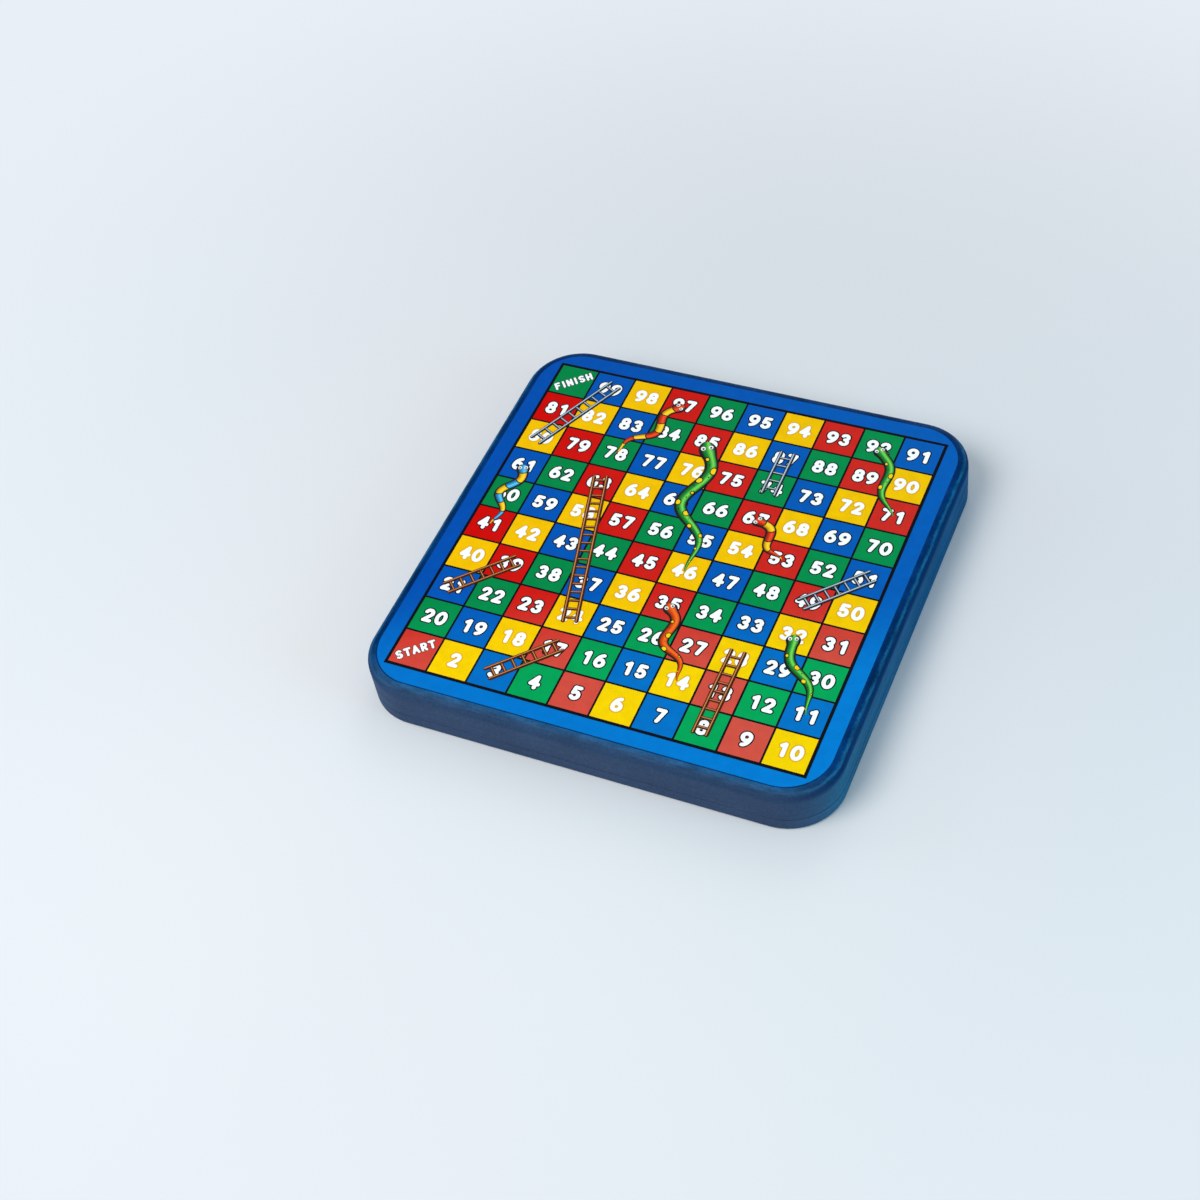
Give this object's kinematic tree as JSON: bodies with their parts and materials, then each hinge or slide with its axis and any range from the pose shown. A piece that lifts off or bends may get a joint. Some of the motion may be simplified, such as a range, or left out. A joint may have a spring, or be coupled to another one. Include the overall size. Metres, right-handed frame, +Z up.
{
  "type": "snakes and ladders board",
  "caption": "Snakes and ladders board: a shallow square plastic case with round corners, a printed numbered playing field on its hinged lid, and a tray for pawns and a die inside.",
  "frame": {"origin": "middle of the bounding box's underside, on the surface that the case stands on", "axes": "+Z up, +X to the player's right, +Y to the hinge at the back; square 1 is front left"},
  "size_m": [0.182, 0.1844, 0.0204],
  "materials": {
    "case_plastic": "moulded navy plastic, satin gloss",
    "sheet_blue": "printed film, bright blue, satin varnish",
    "line_ink": "printed ink, near black",
    "red_ink": "printed ink, red",
    "yellow_ink": "printed ink, yellow",
    "green_ink": "printed ink, green",
    "blue_ink": "printed ink, blue",
    "ladder_brown": "printed figure, wood brown",
    "ladder_silver": "printed figure, silver grey",
    "snake_green": "printed figure, leaf green with yellow spots",
    "snake_red": "printed figure, red and yellow bands",
    "snake_orange": "printed figure, orange with yellow spots",
    "snake_blue": "printed figure, light blue and yellow bands",
    "pin_steel": "drawn steel wire",
    "tray_plastic": "thin moulded plastic, dark grey, matt",
    "pawn_red": "moulded plastic, red, glossy",
    "pawn_yellow": "moulded plastic, yellow, glossy",
    "pawn_green": "moulded plastic, green, glossy",
    "pawn_blue": "moulded plastic, blue, glossy",
    "die_white": "moulded plastic, white, with black pips"
  },
  "bodies": {
    "base": {"base_shell": "case_plastic", "hinge_pin_left": "pin_steel", "hinge_pin_right": "pin_steel", "storage_tray": "tray_plastic", "pawn_red": "pawn_red", "pawn_yellow": "pawn_yellow", "pawn_green": "pawn_green", "pawn_blue": "pawn_blue", "die": "die_white"},
    "lid": {"lid_shell": "case_plastic", "game_sheet": "sheet_blue", "grid_lines": "line_ink", "squares_red": "red_ink", "squares_yellow": "yellow_ink", "squares_green": "green_ink", "squares_blue": "blue_ink", "ladders_brown": "ladder_brown", "ladders_silver": "ladder_silver", "snakes_green": "snake_green", "snakes_red": "snake_red", "snakes_orange": "snake_orange", "snakes_blue": "snake_blue"}
  },
  "joints": [
    {"name": "lid_hinge", "type": "hinge", "parent": "base", "child": "lid", "pos_m": [0, 0.08975, 0.00565], "axis": [-1, 0, 0], "range_deg": [0, 110]}
  ]
}
